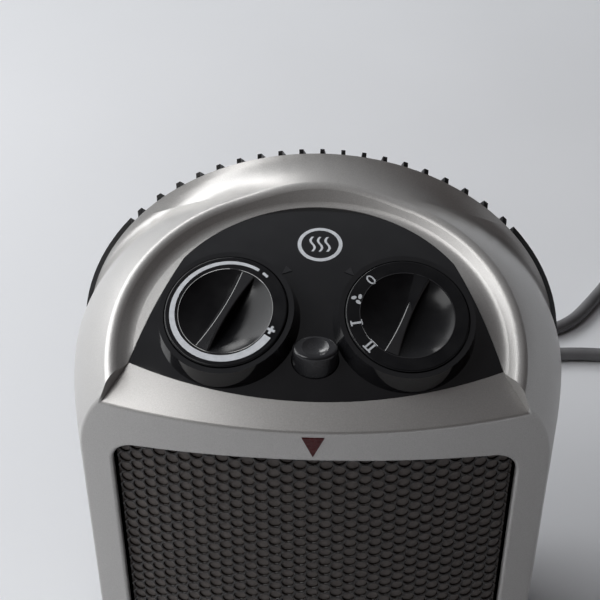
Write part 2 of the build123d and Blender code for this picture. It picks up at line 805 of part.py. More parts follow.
# Fan rotor: shaft with its core, and the bladed wheel
rotor_front_y = bulkhead_y + rotor_gap
with BuildPart() as motor_shaft:
    with BuildSketch(Plane.XZ.offset(-rotor_front_y - rotor_depth / 2)):
        with Locations((0, fan_z)):
            Circle(motor_shaft_radius)
    extrude(amount=rotor_front_y + rotor_depth / 2 - bridge_front_y)
    with BuildSketch(Plane.XZ.offset(-bracket_front_y + run_gap)):
        with Locations((0, fan_z)):
            Circle(rotor_core_radius)
    extrude(amount=motor_depth - 2 * run_gap)
write(motor_shaft, "motor_shaft")

with BuildPart() as fan_wheel:
    with BuildSketch(Plane.XZ.offset(-rotor_front_y)):
        with Locations((0, fan_z)):
            Circle(rotor_hub_radius)
    extrude(amount=-rotor_depth)
    reach = (rotor_hub_radius + rotor_radius) / 2
    chord = (rotor_depth - 2 * blade_skin) / sin(radians(blade_pitch))
    for blade in range(blade_count):
        angle = 2 * pi * blade / blade_count
        spoke = Vector(cos(angle), 0, sin(angle))
        across = Vector(-sin(angle), 0, cos(angle))
        face = Vector(0, cos(radians(blade_pitch)), 0) + across * sin(radians(blade_pitch))
        middle = Vector(0, rotor_front_y + rotor_depth / 2, fan_z) + spoke * reach
        with BuildSketch(Plane(origin=middle, x_dir=spoke, z_dir=face)):
            RectangleRounded(rotor_radius - rotor_hub_radius + 2 * blade_skin, chord, blade_corner)
        extrude(amount=blade_skin / 2, both=True)
    with BuildSketch(Plane.XZ.offset(-rotor_front_y - rotor_depth)):
        with Locations((0, fan_z)):
            Circle(rotor_radius)
    extrude(amount=rotor_depth, mode=Mode.INTERSECT)
    with BuildSketch(Plane.XZ.offset(-rotor_front_y - rotor_depth / 2)):
        with Locations((0, fan_z)):
            Circle(motor_shaft_radius)
    extrude(amount=rotor_depth, mode=Mode.SUBTRACT)
write(fan_wheel, "fan_wheel")

# Heating element: fin banks, ceramic bars, end caps and the heat-proof shell round them
ptc_front_y = ptc_rear_y - ptc_depth
bank_height = (ptc_height - (ptc_banks - 1) * ptc_bar) / ptc_banks
bank_zs = [fan_z + (bank_height + ptc_bar) * (index - (ptc_banks - 1) / 2) for index in range(ptc_banks)]
bar_zs = [z + (bank_height + ptc_bar) / 2 for z in bank_zs[:-1]]
fin_count = int(ptc_width / ptc_fin_pitch)
with BuildPart() as ptc_fins:
    with BuildSketch(Plane.XZ.offset(-ptc_rear_y)):
        for bank_z in bank_zs:
            with Locations((0, bank_z)):
                Rectangle(ptc_width, bank_height)
                Rectangle(ptc_width, bank_height - 2 * ptc_rail, mode=Mode.SUBTRACT)
                with GridLocations(ptc_fin_pitch, 0, fin_count, 1):
                    Rectangle(ptc_fin_skin, bank_height)
    extrude(amount=ptc_depth)
write(ptc_fins, "ptc_fins")

with BuildPart() as ptc_ceramic_bars:
    with BuildSketch(Plane.XZ.offset(-ptc_rear_y)):
        with Locations(*[(0, bar_z) for bar_z in bar_zs]):
            Rectangle(ptc_width, ptc_bar)
    extrude(amount=ptc_depth)
write(ptc_ceramic_bars, "ptc_ceramic_bars")

cap_height = ptc_height + 2 * ptc_margin - 2 * fit_gap
with BuildPart() as ptc_end_caps:
    with BuildSketch(Plane.XZ.offset(-ptc_rear_y)):
        with Locations((0, fan_z)):
            with GridLocations(ptc_width + ptc_cap, 0, 2, 1):
                Rectangle(ptc_cap, cap_height)
    extrude(amount=ptc_depth)
write(ptc_end_caps, "ptc_end_caps")

shell_width = ptc_width + 2 * ptc_cap + 2 * fit_gap
shell_height = ptc_height + 2 * ptc_margin
case_width = shell_width + 2 * ptc_shell_wall
case_height = shell_height + 2 * ptc_shell_wall
with BuildPart() as ptc_shell:
    with BuildSketch(Plane.XZ.offset(-bulkhead_y)):
        with Locations((0, fan_z)):
            RectangleRounded(case_width, case_height, case_corner)
            Rectangle(shell_width, shell_height, mode=Mode.SUBTRACT)
    extrude(amount=bulkhead_y - ptc_front_y + ptc_lead)
write(ptc_shell, "ptc_shell")

shell_top_z = fan_z + shell_height / 2 + ptc_shell_wall
with BuildPart() as thermal_cutout:
    with BuildSketch(Plane.XY.offset(shell_top_z)):
        with Locations((0, (ptc_front_y + ptc_rear_y) / 2)):
            Circle(cutout_radius)
            with GridLocations(3 * cutout_radius, 0, 2, 1):
                SlotOverall(cutout_tab_length, cutout_radius)
    extrude(amount=cutout_height / 3)
    with BuildSketch(Plane.XY.offset(shell_top_z)):
        with Locations((0, (ptc_front_y + ptc_rear_y) / 2)):
            Circle(cutout_radius)
    extrude(amount=cutout_height)
write(thermal_cutout, "thermal_cutout")

with BuildPart() as terminal_block:
    with BuildSketch(Plane.XY.offset(floor_top_z)):
        with Locations((terminal_x, terminal_y)):
            RectangleRounded(terminal_length, terminal_width, small_corner)
    extrude(amount=terminal_height)
    with BuildSketch(Plane.XY.offset(floor_top_z + terminal_height)):
        with Locations((terminal_x, terminal_y)):
            with GridLocations(terminal_length / 4, terminal_width / 2, 4, 2):
                Circle(terminal_width / 6)
    extrude(amount=-terminal_height / 2, mode=Mode.SUBTRACT)
write(terminal_block, "terminal_block")

# Swing drive: motor on the floor, crank arm under it, pin in the slot of the base
swing = radians(swing_limit)
crank_sweep = crank_ratio * swing
crank_radius = crank_offset * tan(swing) / (sin(crank_sweep) - tan(swing) * cos(crank_sweep))
crank_top_z = housing_foot_z - fit_gap
with BuildPart() as swing_motor:
    with BuildSketch(Plane.XY.offset(floor_top_z)):
        with Locations((0, crank_offset)):
            Circle(swing_motor_radius)
            Circle(crank_shaft_radius + run_gap, mode=Mode.SUBTRACT)
    extrude(amount=swing_motor_height)
    fillet(swing_motor.edges().filter_by(GeomType.CIRCLE).sort_by(SortBy.RADIUS)[-1], edge_round)
write(swing_motor, "swing_motor")

with BuildPart() as swing_crank:
    with BuildSketch(Plane.XY.offset(crank_top_z - crank_skin)):
        with Locations((0, crank_offset + crank_radius / 2)):
            SlotCenterToCenter(crank_radius, crank_arm_width, rotation=90)
    extrude(amount=crank_skin)
    with BuildSketch(Plane.XY.offset(crank_top_z - crank_skin)):
        with Locations((0, crank_offset)):
            Circle(crank_shaft_radius)
    extrude(amount=floor_top_z + crank_shaft_seat - crank_top_z + crank_skin)
    with BuildSketch(Plane.XY.offset(base_top_z - 2 * base_skin)):
        with Locations((0, crank_offset + crank_radius)):
            Circle(crank_pin_radius)
    extrude(amount=crank_top_z - base_top_z + 2 * base_skin)
write(swing_crank, "swing_crank")

# Base: tray, cover with its pivot bush, glide ring, clip, feet and screws
cover_low_z = base_top_z - base_skin
bush_low_z = hub_bottom_z + clip_skin + clip_clear
slot_near = sqrt(
    (crank_offset + crank_radius * cos(crank_sweep)) ** 2 + (crank_radius * sin(crank_sweep)) ** 2
)
slot_far = crank_offset + crank_radius
slot_half = crank_pin_radius + crank_slot_side
with BuildPart() as base_cover:
    with BuildSketch(Plane.XY.offset(base_split_z)):
        Circle(base_radius)
    extrude(amount=base_top_z - base_split_z)
    fillet(base_cover.edges().sort_by(Axis.Z)[-1], edge_round)
    with BuildSketch(Plane.XY.offset(base_split_z)):
        Circle(base_radius - base_skin)
    extrude(amount=cover_low_z - base_split_z, mode=Mode.SUBTRACT)
    with BuildSketch(Plane.XY.offset(bush_low_z)):
        Circle(hub_radius + bush_wall)
    extrude(amount=base_top_z - bush_low_z)
    with BuildSketch(Plane.XY.offset(bush_low_z)):
        Circle(hub_radius + run_gap)
        with Locations((0, (slot_near + slot_far) / 2)):
            SlotCenterToCenter(slot_far - slot_near, 2 * slot_half, rotation=90)
    extrude(amount=base_top_z, mode=Mode.SUBTRACT)
write(base_cover, "base_cover")

tray_top_z = base_bottom_z + base_skin
with BuildPart() as base_tray:
    with BuildSketch(Plane.XY.offset(base_bottom_z)):
        Circle(base_radius)
    extrude(amount=base_split_z - base_bottom_z)
    fillet(base_tray.edges().sort_by(Axis.Z)[0], edge_round)
    with BuildSketch(Plane.XY.offset(tray_top_z)):
        Circle(base_radius - base_skin)
    extrude(amount=base_split_z, mode=Mode.SUBTRACT)
    with BuildSketch(Plane.XY.offset(tray_top_z)):
        with PolarLocations(boss_circle, 4, start_angle=45):
            Circle(boss_radius)
    extrude(amount=cover_low_z - tray_top_z)
    with BuildSketch(Plane.XY.offset(base_bottom_z)):
        with PolarLocations(boss_circle, 4, start_angle=45):
            Circle(screw_radius + run_gap)
        with PolarLocations(foot_circle, 4):
            Circle(peg_radius + run_gap)
        with Locations((tip_x, tip_y)):
            Circle(tip_radius + fit_gap)
    extrude(amount=base_split_z - base_bottom_z - base_skin, mode=Mode.SUBTRACT)
    with BuildSketch(Plane.XY.offset(base_bottom_z)):
        with PolarLocations(boss_circle, 4, start_angle=45):
            Circle(screw_head_radius + run_gap)
    extrude(amount=screw_head, mode=Mode.SUBTRACT)
write(base_tray, "base_tray")

with BuildPart() as base_screws:
    with BuildSketch(Plane.XY.offset(base_bottom_z + fit_gap)):
        with PolarLocations(boss_circle, 4, start_angle=45):
            Circle(screw_head_radius)
    extrude(amount=screw_head - fit_gap)
    with BuildSketch(Plane.XY.offset(base_bottom_z + screw_head)):
        with PolarLocations(boss_circle, 4, start_angle=45):
            Circle(screw_radius)
    extrude(amount=base_split_z - base_bottom_z - base_skin - 2 * screw_head)
write(base_screws, "base_screws")

with BuildPart() as rubber_feet:
    with BuildSketch(Plane.XY):
        with PolarLocations(foot_circle, 4):
            Circle(foot_radius)
    extrude(amount=base_bottom_z)
    with BuildSketch(Plane.XY.offset(base_bottom_z)):
        with PolarLocations(foot_circle, 4):
            Circle(peg_radius)
    extrude(amount=peg_length)
write(rubber_feet, "rubber_feet")

with BuildPart() as glide_ring:
    with BuildSketch(Plane.XY.offset(base_top_z)):
        Circle(glide_outer - edge_round)
        Circle(glide_inner, mode=Mode.SUBTRACT)
    extrude(amount=housing_foot_z - base_top_z - fit_gap)
write(glide_ring, "glide_ring")

with BuildPart() as pivot_clip:
    with BuildSketch(Plane.XY.offset(bush_low_z - fit_gap - clip_skin)):
        Circle(clip_radius)
        Circle(hub_radius + run_gap, mode=Mode.SUBTRACT)
    extrude(amount=clip_skin)
write(pivot_clip, "pivot_clip")

# Tip-over switch
with BuildPart() as tip_switch:
    with BuildSketch(Plane.XY.offset(tray_top_z)):
        with Locations((tip_x, tip_y)):
            RectangleRounded(tip_case, tip_case, small_corner)
            Circle(tip_radius + run_gap, mode=Mode.SUBTRACT)
    extrude(amount=tip_case_height)
write(tip_switch, "tip_switch")

with BuildPart() as tip_plunger:
    with BuildSketch(Plane.XY):
        with Locations((tip_x, tip_y)):
            Circle(tip_radius)
    extrude(amount=tip_length)
    fillet(tip_plunger.edges().sort_by(Axis.Z)[-1], edge_round)
write(tip_plunger, "tip_plunger")

# Strain relief: a ringed cone out of the back of the base
relief_end_y = base_radius + relief_length
with BuildPart() as strain_relief:
    with BuildSketch(Plane.YZ):
        with BuildLine():
            step = relief_length / relief_rings
            outline = [(base_radius, exit_z), (base_radius, exit_z + relief_root_radius)]
            for ring in range(relief_rings):
                taper = (relief_root_radius - relief_tip_radius) * ring / (relief_rings - 1)
                crest = exit_z + relief_root_radius - taper
                ring_y = base_radius + step * ring
                outline.append((ring_y + relief_crest_share * step, crest))
                outline.append((ring_y + relief_groove_share * step, crest - relief_groove))
                outline.append((ring_y + step, crest - relief_groove))
            outline += [(relief_end_y, exit_z)]
            Polyline(*outline, close=True)
        make_face()
    revolve(axis=Axis((0, 0, exit_z), (0, 1, 0)))
write(strain_relief, "strain_relief")

# Mains lead: free stretch, coil, tail, tie and plug
coil_low_z = cord_radius + tie_skin + fit_gap
coil_high_z = coil_low_z + coil_layer
coil_outer = coil_inner + coil_turns * coil_pitch
cord_diameter = 2 * cord_radius
lead_points = [
    (0, relief_end_y, exit_z), (0, 110, exit_z), (2, 128, 6),
    (14, 148, 3.5), (40, 166, 3.5), (70, 177, 3.5),
    (100, 184, 3.5), (131, 188, 3.5), (160, 187, 3.5), (190, 185, 3.5), (224, 193, 3.5), (243, 222, 3.5),
    (235, 256, 3.5), (206, 275, 3.5), (172, 267, 3.5), (150, 232, 3.5), (133, 209, 3.5), (108, 201, 3.5),
    (84, 207, 3.5), (68, 225, 3.5), (coil_x + coil_outer, 246, coil_low_z),
    (coil_x + coil_outer, coil_y - cord_diameter, coil_low_z),
]
tail_points = [
    (coil_x - coil_outer, coil_y - cord_diameter, coil_high_z), (coil_x - coil_outer, 246, coil_high_z),
    (-45, 226, coil_high_z), (-45, 206, coil_high_z),
]


def bend_radii(points):
    """Largest even radius at each corner of a route, from its shorter run and the half-turn."""
    radii = []
    for before, at, after in zip(points, points[1:], points[2:]):
        run_in, run_out = Vector(at) - Vector(before), Vector(after) - Vector(at)
        half_turn = radians(run_in.get_angle(run_out)) / 2
        radii.append(bend_share * min(run_in.length, run_out.length) / tan(half_turn))
    return radii


def cord_tube(points, name):
    """Round tube along straight runs joined by tangent arcs."""
    radii = bend_radii(points)
    with BuildPart() as tube:
        with BuildLine() as route:
            FilletPolyline(*points, radius=radii)
        with BuildSketch(Plane(origin=points[0], z_dir=Vector(points[1]) - Vector(points[0]))):
            Circle(cord_radius)
        sweep(path=route.wires()[0])
    length = route.wires()[0].length
    share = tube.part.volume / (pi * cord_radius**2 * length)
    print(name, "radii", [round(radius, 1) for radius in radii], "length", round(length, 1))
    print(name, "volume over section times length", round(share, 4))
    return tube


cord_lead = cord_tube(lead_points, "cord_lead")
write(cord_lead, "cord_lead")
cord_tail = cord_tube(tail_points, "cord_tail")
write(cord_tail, "cord_tail")


# Coil: spirals in on the floor layer, climbs in a half turn, spirals out on the upper layer
def coil_place(quarter):
    """Radius and height of the coil after so many quarter turns."""
    inward, climb = 4 * coil_turns, 2
    if quarter <= inward:
        return coil_outer - coil_pitch * quarter / 4, coil_low_z
    if quarter <= inward + climb:
        rise = (quarter - inward) / climb
        return coil_inner, coil_low_z + coil_layer * rise
    return coil_inner + coil_pitch * (quarter - inward - climb) / 4, coil_high_z


def coil_point(quarter):
    """Point of the coil's centre line after so many quarter turns."""
    radius, height = coil_place(quarter)
    angle = pi / 2 * quarter
    return Vector(coil_x + radius * cos(angle), coil_y + radius * sin(angle), height)


def coil_heading(quarter):
    """Direction of the centre line, level at both ends."""
    if quarter in (0, coil_quarters):
        return Vector(0, 1, 0) if quarter == 0 else Vector(0, -1, 0)
    nudge = 0.02
    return (coil_point(quarter + nudge) - coil_point(quarter - nudge)).normalized()


coil_quarters = 8 * coil_turns + 2
with BuildPart() as cord_coil:
    with BuildLine() as turns:
        first, last = coil_point(0), coil_point(coil_quarters)
        Line(first - coil_heading(0) * cord_diameter, first)
        for quarter in range(coil_quarters):
            p0, p1 = coil_point(quarter), coil_point(quarter + 1)
            t0, t1 = coil_heading(quarter), coil_heading(quarter + 1)
            chord = p1 - p0
            a, b, c = 2 * (t0.dot(t1) - 1), -2 * chord.dot(t0 + t1), chord.dot(chord)
            arm = (-b - sqrt(b * b - 4 * a * c)) / (2 * a)
            near, far = p0 + t0 * arm, p1 - t1 * arm
            middle = (near + far) * 0.5
            TangentArc(p0, middle, tangent=t0)
            TangentArc(middle, p1, tangent=far - near)
        Line(last, last + coil_heading(coil_quarters) * cord_diameter)
    with BuildSketch(Plane(origin=first - coil_heading(0) * cord_diameter, z_dir=coil_heading(0))):
        Circle(cord_radius)
    sweep(path=turns.wires()[0])
write(cord_coil, "cord_coil")
coil_wire = turns.wires()[0]
samples = [coil_wire.position_at(index / coil_samples) for index in range(coil_samples + 1)]
apart = int(coil_samples * 2 * cord_diameter / coil_wire.length)
coil_gap = min(
    (samples[i] - samples[j]).length
    for i in range(coil_samples + 1)
    for j in range(i + apart, coil_samples + 1)
) - cord_diameter
coil_share = cord_coil.part.volume / (pi * cord_radius**2 * coil_wire.length)
print("coil length", round(coil_wire.length, 1), "least gap to itself", round(coil_gap, 2))
print("coil volume over section times length", round(coil_share, 4))

# Tie round the near side of the coil
tie_inner_r = coil_inner + coil_pitch / 4 - cord_radius - 2 * fit_gap
tie_outer_r = coil_outer - 3 * coil_pitch / 4 + cord_radius + 2 * fit_gap
tie_height = coil_high_z + cord_radius + fit_gap - tie_skin
with BuildPart() as cord_tie:
    with BuildSketch(Plane.YZ.offset(coil_x)):
        with Locations((coil_y - (tie_inner_r + tie_outer_r) / 2, tie_skin + tie_height / 2)):
            Rectangle(tie_outer_r - tie_inner_r + 2 * tie_skin, tie_height + 2 * tie_skin)
            Rectangle(tie_outer_r - tie_inner_r, tie_height, mode=Mode.SUBTRACT)
    extrude(amount=tie_width / 2, both=True)
write(cord_tie, "cord_tie")

# Two-pin plug
plug_x, plug_y = tail_points[-1][0], tail_points[-1][1]
plug_stations = [
    (0, plug_neck, plug_neck, plug_neck / 2.1),
    (plug_length / 3, plug_grip_width, 1.5 * coil_high_z, plug_neck / 2),
    (2 * plug_length / 3, plug_width, 2 * coil_high_z, plug_neck / 1.5),
    (plug_length, plug_width, 2 * coil_high_z, plug_neck / 1.5),
]
with BuildPart() as plug_body:
    for back, width, height, corner in plug_stations:
        with BuildSketch(Plane.XZ.offset(back - plug_y)):
            with Locations((plug_x, coil_high_z)):
                RectangleRounded(width, height, corner)
    loft(ruled=True)
write(plug_body, "plug_body")

with BuildPart() as plug_pins:
    with BuildSketch(Plane.XZ.offset(plug_length - plug_y)):
        with Locations((plug_x, coil_high_z)):
            with GridLocations(pin_spacing, 0, 2, 1):
                Circle(pin_radius)
    extrude(amount=pin_length)
    fillet(plug_pins.faces().sort_by(Axis.Y)[:2].edges(), edge_round)
write(plug_pins, "plug_pins")
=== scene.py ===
from math import asin, cos, hypot, pi, radians, sin, sqrt

import bpy
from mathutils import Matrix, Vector


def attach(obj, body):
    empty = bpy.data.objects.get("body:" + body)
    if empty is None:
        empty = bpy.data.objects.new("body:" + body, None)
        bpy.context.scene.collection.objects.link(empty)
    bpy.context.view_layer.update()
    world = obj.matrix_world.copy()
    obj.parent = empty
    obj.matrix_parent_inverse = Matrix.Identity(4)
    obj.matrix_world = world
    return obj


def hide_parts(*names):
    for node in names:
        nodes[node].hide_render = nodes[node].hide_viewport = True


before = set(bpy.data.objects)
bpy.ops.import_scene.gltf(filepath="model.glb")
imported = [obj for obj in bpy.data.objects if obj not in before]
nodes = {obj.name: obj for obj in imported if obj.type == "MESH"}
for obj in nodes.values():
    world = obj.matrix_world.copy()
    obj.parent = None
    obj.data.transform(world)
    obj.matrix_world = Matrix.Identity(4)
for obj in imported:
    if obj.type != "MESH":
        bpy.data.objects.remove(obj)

MM = 0.001
scene = bpy.context.scene
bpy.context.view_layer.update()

# The part's own sizes, in millimetres and degrees: shells and control deck
front_y = -71.0
front_radius = 205.0
wall = 2.6
fit_gap = 0.3
crease_z = 212.0
deck_slope = 34.0
deck_radius = 155.0
deck_cross_radius = 300.0

# Dials
knob_x = 29.7
knob_y = -35.2
knob_top = 7.0
dish_radius = 16.0
grip_width = 2.6
grip_end_width = 5.2
grip_sink = 0.2
thermostat_grip_angle = -29.0
selector_grip_angle = -18.0

# Outlet
outlet_half_width = 69.5
outlet_top_z = 198.5
outlet_top_drop = 7.0
outlet_bottom_z = 58.0
outlet_corner = 11.0

# Mains lead
cord_radius = 3.5
exit_z = 10.0
relief_end_y = 94.0
coil_x = 10.0
coil_y = 273.0
coil_inner = 32.0
coil_pitch = 9.0
coil_layer = 7.6
coil_turns = 2
tie_skin = 1.2


# Camera at the photograph's viewing angle, its place in metres
CAMERA_AZIMUTH = radians(2.1)
CAMERA_ELEVATION = radians(42.0)
CAMERA_PLACE = (0.00829, -0.41285, 0.57874)
CAMERA_LENS = 91.8
SENSOR_WIDTH = 36.0
CLIP_NEAR = 0.01
CLIP_FAR = 50.0

camera_data = bpy.data.cameras.new("camera")
camera_data.sensor_width = SENSOR_WIDTH
camera_data.lens = CAMERA_LENS
camera_data.clip_start = CLIP_NEAR
camera_data.clip_end = CLIP_FAR
camera = bpy.data.objects.new("camera", camera_data)
scene.collection.objects.link(camera)
back = Vector((
    sin(CAMERA_AZIMUTH) * cos(CAMERA_ELEVATION),
    -cos(CAMERA_AZIMUTH) * cos(CAMERA_ELEVATION),
    sin(CAMERA_ELEVATION),
))
camera.location = CAMERA_PLACE
camera.rotation_mode = "QUATERNION"
camera.rotation_quaternion = (-back).to_track_quat("-Z", "Y")
scene.camera = camera


# Mains lead: the route's points, then the coil's turns, then the tail to the plug
coil_low_z = cord_radius + tie_skin + fit_gap
coil_high_z = coil_low_z + coil_layer
coil_outer = coil_inner + coil_turns * coil_pitch
cord_diameter = 2 * cord_radius
lead_points = [
    (0, relief_end_y, exit_z), (0, 110, exit_z), (2, 128, 6), (14, 148, 3.5), (40, 166, 3.5), (70, 177, 3.5),
    (100, 184, 3.5), (131, 188, 3.5), (160, 187, 3.5), (190, 185, 3.5), (224, 193, 3.5), (243, 222, 3.5),
    (235, 256, 3.5), (206, 275, 3.5), (172, 267, 3.5), (150, 232, 3.5), (133, 209, 3.5), (108, 201, 3.5),
    (84, 207, 3.5), (68, 225, 3.5), (coil_x + coil_outer, 246, coil_low_z),
    (coil_x + coil_outer, coil_y - cord_diameter, coil_low_z),
]
tail_points = [
    (coil_x - coil_outer, coil_y - cord_diameter, coil_high_z), (coil_x - coil_outer, 246, coil_high_z),
    (-45, 226, coil_high_z), (-45, 206, coil_high_z),
]
COIL_STEPS = 12                 # points in each turn of the coil
HALF_TURN = 0.5                 # the climb from the low layer to the high one
CORD_ROUNDNESS = 6
CORD_STEPS = 8
SPLINE_ORDER = 3
PULL = 4 / (3 + cos(2 * pi / COIL_STEPS))   # a spline of this order runs inside its points by this much
coil_points = []
for step in range(1, int(COIL_STEPS * (2 * coil_turns + HALF_TURN))):
    turn = step / COIL_STEPS
    if turn <= coil_turns:
        radius, height = coil_outer - coil_pitch * turn, coil_low_z
    elif turn <= coil_turns + HALF_TURN:
        radius, height = coil_inner, coil_low_z + coil_layer * (turn - coil_turns) / HALF_TURN
    else:
        radius, height = coil_inner + coil_pitch * (turn - coil_turns - HALF_TURN), coil_high_z
    angle = 2 * pi * turn
    coil_points.append((
        coil_x + PULL * radius * cos(angle), coil_y + PULL * radius * sin(angle), height,
    ))
route = lead_points + coil_points + tail_points

curve = bpy.data.curves.new("mains_cord", "CURVE")
curve.dimensions = "3D"
curve.bevel_depth = 1.0         # the points' radius is the cord's
curve.bevel_resolution = CORD_ROUNDNESS
curve.resolution_u = CORD_STEPS
curve.use_fill_caps = True
spline = curve.splines.new("NURBS")
spline.points.add(len(route) - 1)
for point, place in zip(spline.points, route):
    point.co = (place[0] * MM, place[1] * MM, place[2] * MM, 1.0)
    point.radius = cord_radius * MM
spline.order_u = SPLINE_ORDER
spline.use_endpoint_u = True
mains_cord = bpy.data.objects.new("mains_cord", curve)
scene.collection.objects.link(mains_cord)
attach(mains_cord, "base")
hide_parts("cord_lead", "cord_coil", "cord_tail")


# Materials
PATCH_DETAIL = 4.0
GRAIN_DETAIL = 2.0
GRAIN_STRENGTH = 0.35


def shader(name):
    """New node material, its tree and its surface node."""
    made = bpy.data.materials.new(name)
    made.use_nodes = True
    return made, made.node_tree, made.node_tree.nodes["Principled BSDF"]


def spread(tree, source, low, high, start=0.3, stop=0.7):
    """Maps the range start..stop of a value, a texture's middle range as a rule, to low..high."""
    node = tree.nodes.new("ShaderNodeMapRange")
    node.inputs["From Min"].default_value = start
    node.inputs["From Max"].default_value = stop
    node.inputs["To Min"].default_value = low
    node.inputs["To Max"].default_value = high
    tree.links.new(source, node.inputs["Value"])
    return node.outputs["Result"]


def noise(tree, scale, detail, stretch):
    """Noise on the object's own coordinates."""
    place = tree.nodes.new("ShaderNodeTexCoord")
    mapping = tree.nodes.new("ShaderNodeMapping")
    mapping.inputs["Scale"].default_value = stretch
    node = tree.nodes.new("ShaderNodeTexNoise")
    node.inputs["Scale"].default_value = scale
    node.inputs["Detail"].default_value = detail
    tree.links.new(place.outputs["Object"], mapping.inputs["Vector"])
    tree.links.new(mapping.outputs["Vector"], node.inputs["Vector"])
    return node.outputs["Fac"]


def two_tone(tree, fac, dark, light):
    """Colour between two tones."""
    node = tree.nodes.new("ShaderNodeMix")
    node.data_type = "RGBA"
    node.inputs["A"].default_value = (*dark, 1)
    node.inputs["B"].default_value = (*light, 1)
    tree.links.new(fac, node.inputs["Factor"])
    return node.outputs["Result"]


def surface(
    name, dark, light, rough, mottle=120.0, grain=2500.0, depth=0.00002, metallic=0.0, coat=0.0,
    coat_rough=0.1, level=0.5, stretch=(1, 1, 1),
):
    """Mottled two-tone material with uneven roughness and a fine grain."""
    made, tree, bsdf = shader(name)
    patches = noise(tree, mottle, PATCH_DETAIL, stretch)
    tree.links.new(two_tone(tree, spread(tree, patches, 0.0, 1.0), dark, light), bsdf.inputs["Base Color"])
    tree.links.new(spread(tree, patches, *rough), bsdf.inputs["Roughness"])
    bump = tree.nodes.new("ShaderNodeBump")
    bump.inputs["Strength"].default_value = GRAIN_STRENGTH
    bump.inputs["Distance"].default_value = depth
    tree.links.new(noise(tree, grain, GRAIN_DETAIL, stretch), bump.inputs["Height"])
    tree.links.new(bump.outputs["Normal"], bsdf.inputs["Normal"])
    bsdf.inputs["Metallic"].default_value = metallic
    bsdf.inputs["Coat Weight"].default_value = coat
    bsdf.inputs["Coat Roughness"].default_value = coat_rough
    bsdf.inputs["Specular IOR Level"].default_value = level
    return made


# The lacquer's slight warm tint is partly painted reflection: it stands in for the warm light that the front
# face reflects.
silver = surface(
    "silver_lacquer", (0.42, 0.41, 0.398), (0.51, 0.50, 0.486), (0.36, 0.44),
    mottle=2600, grain=5200, depth=0.00001, metallic=0.55, coat=0.1, coat_rough=0.3,
)
gloss_black = surface(
    "panel_gloss_black", (0.007, 0.007, 0.008), (0.011, 0.011, 0.012), (0.07, 0.12),
    mottle=90, grain=900, depth=0.000004, coat=0.4, coat_rough=0.04,
)
dial_black = surface(
    "dial_black", (0.007, 0.007, 0.008), (0.012, 0.012, 0.013), (0.16, 0.24),
    mottle=160, grain=2200, depth=0.000006, level=0.20,
)
grip_gloss = surface(
    "grip_gloss", (0.009, 0.009, 0.010), (0.014, 0.014, 0.015), (0.08, 0.14),
    mottle=160, grain=2200, depth=0.000004, level=0.7, coat=0.5, coat_rough=0.05,
)
key_grey = surface(
    "key_grey", (0.016, 0.016, 0.018), (0.024, 0.024, 0.026), (0.18, 0.28), mottle=200, grain=2000,
)
grille_dark = surface(
    "grille_dark", (0.009, 0.006, 0.005), (0.016, 0.012, 0.010), (0.18, 0.30), mottle=150, level=0.35,
)
gauze_grey = surface(
    "gauze_grey", (0.105, 0.092, 0.085), (0.150, 0.132, 0.122), (0.45, 0.6), mottle=400, level=0.2,
)
satin_black = surface(
    "satin_black", (0.010, 0.010, 0.011), (0.020, 0.020, 0.021), (0.34, 0.48),
    mottle=80, grain=1600, depth=0.00004,
)
plain_black = surface(
    "moulding_black", (0.016, 0.016, 0.016), (0.032, 0.032, 0.032), (0.45, 0.6), mottle=70,
)
heat_brown = surface(
    "heatproof_brown", (0.030, 0.020, 0.014), (0.050, 0.036, 0.026), (0.5, 0.65), mottle=60,
)
steel = surface(
    "zinc_steel", (0.42, 0.42, 0.43), (0.58, 0.58, 0.59), (0.28, 0.45),
    mottle=200, metallic=1.0, stretch=(1, 1, 12),
)
copper = surface(
    "enamelled_winding", (0.28, 0.10, 0.04), (0.50, 0.22, 0.09), (0.25, 0.4),
    mottle=60, metallic=0.8, stretch=(1, 30, 1),
)
bright_fins = surface(
    "bright_fins", (0.58, 0.58, 0.59), (0.74, 0.74, 0.75), (0.25, 0.4), mottle=160, metallic=1.0,
)
rubber = surface(
    "rubber_black", (0.012, 0.012, 0.012), (0.024, 0.024, 0.024), (0.6, 0.78),
    mottle=140, grain=1800, depth=0.00005,
)
cord_grey = surface(
    "cord_grey", (0.105, 0.104, 0.108), (0.140, 0.139, 0.143), (0.42, 0.56), mottle=90, grain=1500,
)
nickel = surface(
    "nickel_plate", (0.58, 0.57, 0.54), (0.70, 0.69, 0.67), (0.14, 0.24), mottle=220, metallic=1.0,
)
red_lens = surface(
    "red_lens", (0.060, 0.004, 0.005), (0.090, 0.007, 0.008), (0.22, 0.32), mottle=300, level=0.25,
)
lamp_glass = surface("lamp_glass", (0.45, 0.12, 0.08), (0.6, 0.2, 0.12), (0.08, 0.16), mottle=200)
print_white = surface("print_white", (0.52, 0.54, 0.57), (0.62, 0.64, 0.67), (0.45, 0.6), mottle=500)

dressing = {
    silver: ["front_shell"],
    gloss_black: ["control_panel"],
    dial_black: ["thermostat_knob", "selector_knob"],
    key_grey: ["swing_key"],
    grille_dark: ["outlet_grille"],
    red_lens: ["indicator_lens"],
    lamp_glass: ["indicator_lamp"],
    satin_black: ["rear_shell", "base_tray", "base_cover"],
    plain_black: [
        "housing_floor", "fan_duct", "fan_wheel", "glide_ring", "swing_crank", "tip_plunger", "tip_switch",
        "thermostat_body", "selector_switch", "swing_switch", "terminal_block", "cord_tie",
    ],
    heat_brown: ["ptc_shell", "ptc_end_caps"],
    steel: [
        "motor_bracket", "motor_stack", "motor_bridge", "motor_shaft", "rear_screws", "base_screws",
        "pivot_clip", "swing_motor", "thermal_cutout",
    ],
    copper: ["motor_winding"],
    bright_fins: ["ptc_fins", "ptc_ceramic_bars"],
    rubber: ["rubber_feet", "strain_relief"],
    cord_grey: ["cord_lead", "cord_coil", "cord_tail", "plug_body"],
    nickel: ["plug_pins"],
}
